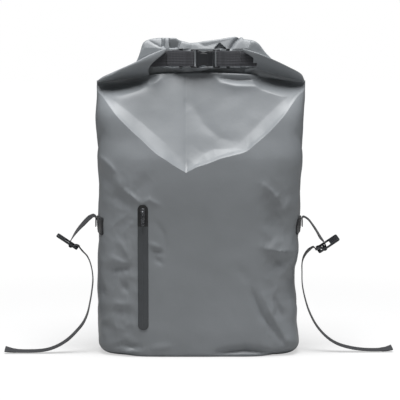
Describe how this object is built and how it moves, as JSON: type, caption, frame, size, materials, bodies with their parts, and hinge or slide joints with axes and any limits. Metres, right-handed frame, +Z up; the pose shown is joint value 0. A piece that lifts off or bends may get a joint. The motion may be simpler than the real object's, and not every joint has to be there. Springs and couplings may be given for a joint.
{
  "type": "rolltop backpack",
  "caption": "Rolltop backpack of coated cloth with a buckled rolled mouth, an upright front zip, side straps with ladder buckles and padded carrying straps.",
  "frame": {"origin": "middle of the flat base, on the surface that the bag stands on", "axes": "+Z up, the front with the zip and the buckle looks towards -Y, +X to the right as seen from the front"},
  "size_m": [0.5843, 0.1997, 0.4692],
  "materials": {
    "coated_cloth": "grey coated cloth with a soft satin sheen",
    "webbing": "dark woven webbing",
    "black_plastic": "moulded, finely grained",
    "zip_strip": "smooth coated zip strip",
    "slider_metal": "black, half gloss",
    "padded_cloth": "dark padded cloth"
  },
  "bodies": {
    "bag": {"bag_shell": "coated_cloth", "rolled_mouth": "coated_cloth", "closure_webbing_left": "webbing", "closure_webbing_right": "webbing", "closure_buckle_female": "black_plastic", "closure_buckle_male": "black_plastic", "keeper_left": "black_plastic", "keeper_right": "black_plastic", "zip_tape": "zip_strip", "zip_slider": "slider_metal", "strap_yoke": "webbing", "grab_loop": "webbing", "side_patch_left": "webbing", "side_strap_left": "webbing", "side_buckle_left": "black_plastic", "shoulder_strap_left": "padded_cloth", "adjuster_left": "black_plastic", "lower_webbing_left": "webbing", "strap_anchor_left": "webbing", "side_patch_right": "webbing", "side_strap_right": "webbing", "side_buckle_right": "black_plastic", "shoulder_strap_right": "padded_cloth", "adjuster_right": "black_plastic", "lower_webbing_right": "webbing", "strap_anchor_right": "webbing"},
    "puller": {"zip_pull": "slider_metal"}
  },
  "joints": [
    {"name": "puller_swing", "type": "hinge", "parent": "bag", "child": "puller", "pos_m": [-0.0842, -0.0807, 0.2133], "axis": [-1, 0, 0], "range_deg": [0, 150]}
  ]
}
